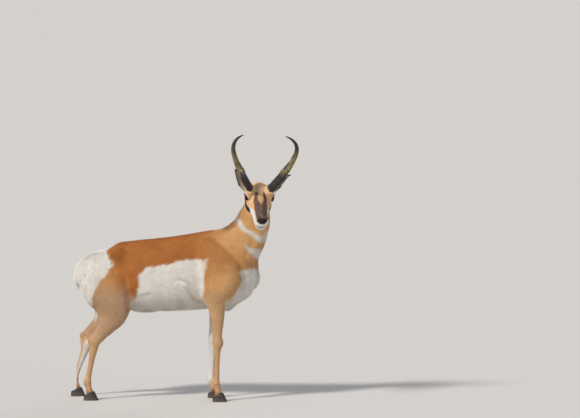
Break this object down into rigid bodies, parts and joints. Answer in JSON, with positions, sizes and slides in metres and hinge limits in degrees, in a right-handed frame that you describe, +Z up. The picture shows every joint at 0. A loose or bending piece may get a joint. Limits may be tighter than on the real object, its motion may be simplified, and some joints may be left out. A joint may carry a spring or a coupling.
{
  "type": "pronghorn",
  "caption": "Life-size pronghorn buck standing square on its hooves, head turned to its right, with forked black horns and a tan and white coat.",
  "frame": {"origin": "on the ground, under the middle of the whole animal's bounding box", "axes": "+X the way the body faces, +Y the animal's left, +Z up; the head is turned towards -Y"},
  "size_m": [1.2198, 0.4566, 1.3786],
  "materials": {
    "coat": "short rust-tan hair with white flanks, belly and throat bands",
    "leg": "short sandy hair, white on the inner sides",
    "rump": "long loose white hair",
    "face": "very short hair, dark mask with buff and white cheeks",
    "horn": "black keratin sheath, worn olive-brown along the prong",
    "hoof": "dark horn, satin",
    "eye": "wet, near black"
  },
  "bodies": {
    "root": {"trunk": "coat", "neck": "coat", "head": "face", "tail": "rump", "ear_right": "face", "eye_right": "eye", "horn_right": "horn", "ear_left": "face", "eye_left": "eye", "horn_left": "horn", "fore_right_shoulder": "coat", "fore_right_forearm": "leg", "fore_right_cannon": "leg", "fore_right_hoof_inner": "hoof", "fore_right_hoof_outer": "hoof", "hind_right_thigh": "coat", "hind_right_gaskin": "leg", "hind_right_cannon": "leg", "hind_right_hoof_inner": "hoof", "hind_right_hoof_outer": "hoof", "fore_left_shoulder": "coat", "fore_left_forearm": "leg", "fore_left_cannon": "leg", "fore_left_hoof_inner": "hoof", "fore_left_hoof_outer": "hoof", "hind_left_thigh": "coat", "hind_left_gaskin": "leg", "hind_left_cannon": "leg", "hind_left_hoof_inner": "hoof", "hind_left_hoof_outer": "hoof"}
  },
  "joints": []
}
